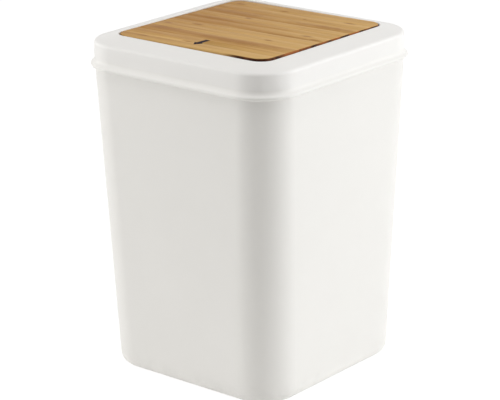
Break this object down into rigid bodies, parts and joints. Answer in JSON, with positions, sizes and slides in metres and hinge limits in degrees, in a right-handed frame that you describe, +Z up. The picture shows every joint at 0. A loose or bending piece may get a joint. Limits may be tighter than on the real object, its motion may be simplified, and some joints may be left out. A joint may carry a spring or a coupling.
{
  "type": "swing-lid bin",
  "caption": "Square swing-lid bin: tapered plastic tub, lift-off collar lid and a bamboo flap that swings both ways on a weighted pivot.",
  "frame": {"origin": "on the floor under the middle of the tub", "axes": "+Z up; -Y the front, where the flap is pushed; the flap's pivot line runs along X"},
  "size_m": [0.2064, 0.2064, 0.2865],
  "materials": {
    "tub_plastic": "satin",
    "collar_plastic": "satin",
    "bamboo": "satin",
    "mark_inlay": "matte",
    "inner_plastic": "matte",
    "zinc_steel": "satin"
  },
  "bodies": {
    "tub_body": {"tub": "tub_plastic"},
    "collar_body": {"lid_collar": "collar_plastic", "pivot_keeper_left": "inner_plastic", "pivot_keeper_right": "inner_plastic", "keeper_screws": "zinc_steel"},
    "flap_body": {"flap_panel": "bamboo", "push_mark": "mark_inlay", "flap_carrier": "inner_plastic", "counterweight": "zinc_steel", "weight_cover": "inner_plastic", "cover_screws": "zinc_steel", "panel_screws": "zinc_steel", "pivot_pin_left": "zinc_steel", "pivot_pin_right": "zinc_steel"}
  },
  "joints": [
    {"name": "lid_lift", "type": "slide", "parent": "tub_body", "child": "collar_body", "axis": [0, 0, 1], "range_m": [0, 0.12]},
    {"name": "flap_swing", "type": "hinge", "parent": "collar_body", "child": "flap_body", "pos_m": [0, 0, 0.2773], "axis": [1, 0, 0], "range_deg": [-80, 80]}
  ]
}
